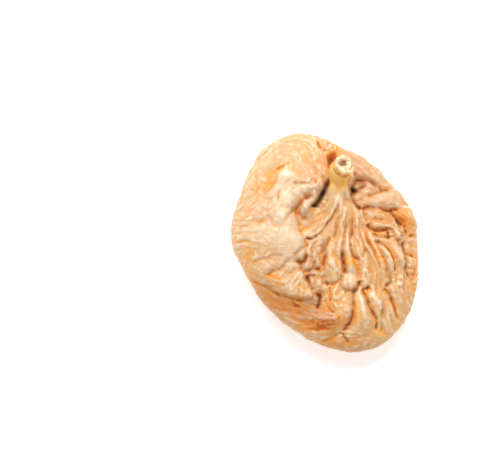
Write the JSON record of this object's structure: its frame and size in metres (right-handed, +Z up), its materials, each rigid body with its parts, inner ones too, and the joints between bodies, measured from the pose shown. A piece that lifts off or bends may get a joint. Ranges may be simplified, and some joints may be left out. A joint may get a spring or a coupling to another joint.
{
  "type": "dried fig",
  "caption": "Flattened dried fig with a big folded lobe, pleats that fan out from its neck, and a short cut stem.",
  "frame": {"origin": "middle of the bounding box, at its bottom, on the surface the fig lies on", "axes": "+Z up, +Y along the fig's length towards the stem end, +X to the right of it seen from above"},
  "size_m": [0.0412, 0.0482, 0.0195],
  "materials": {
    "dried_skin": "satin, slightly waxy and translucent dried fruit skin"
  },
  "bodies": {
    "root": {"dried_fig": "dried_skin"}
  },
  "joints": []
}
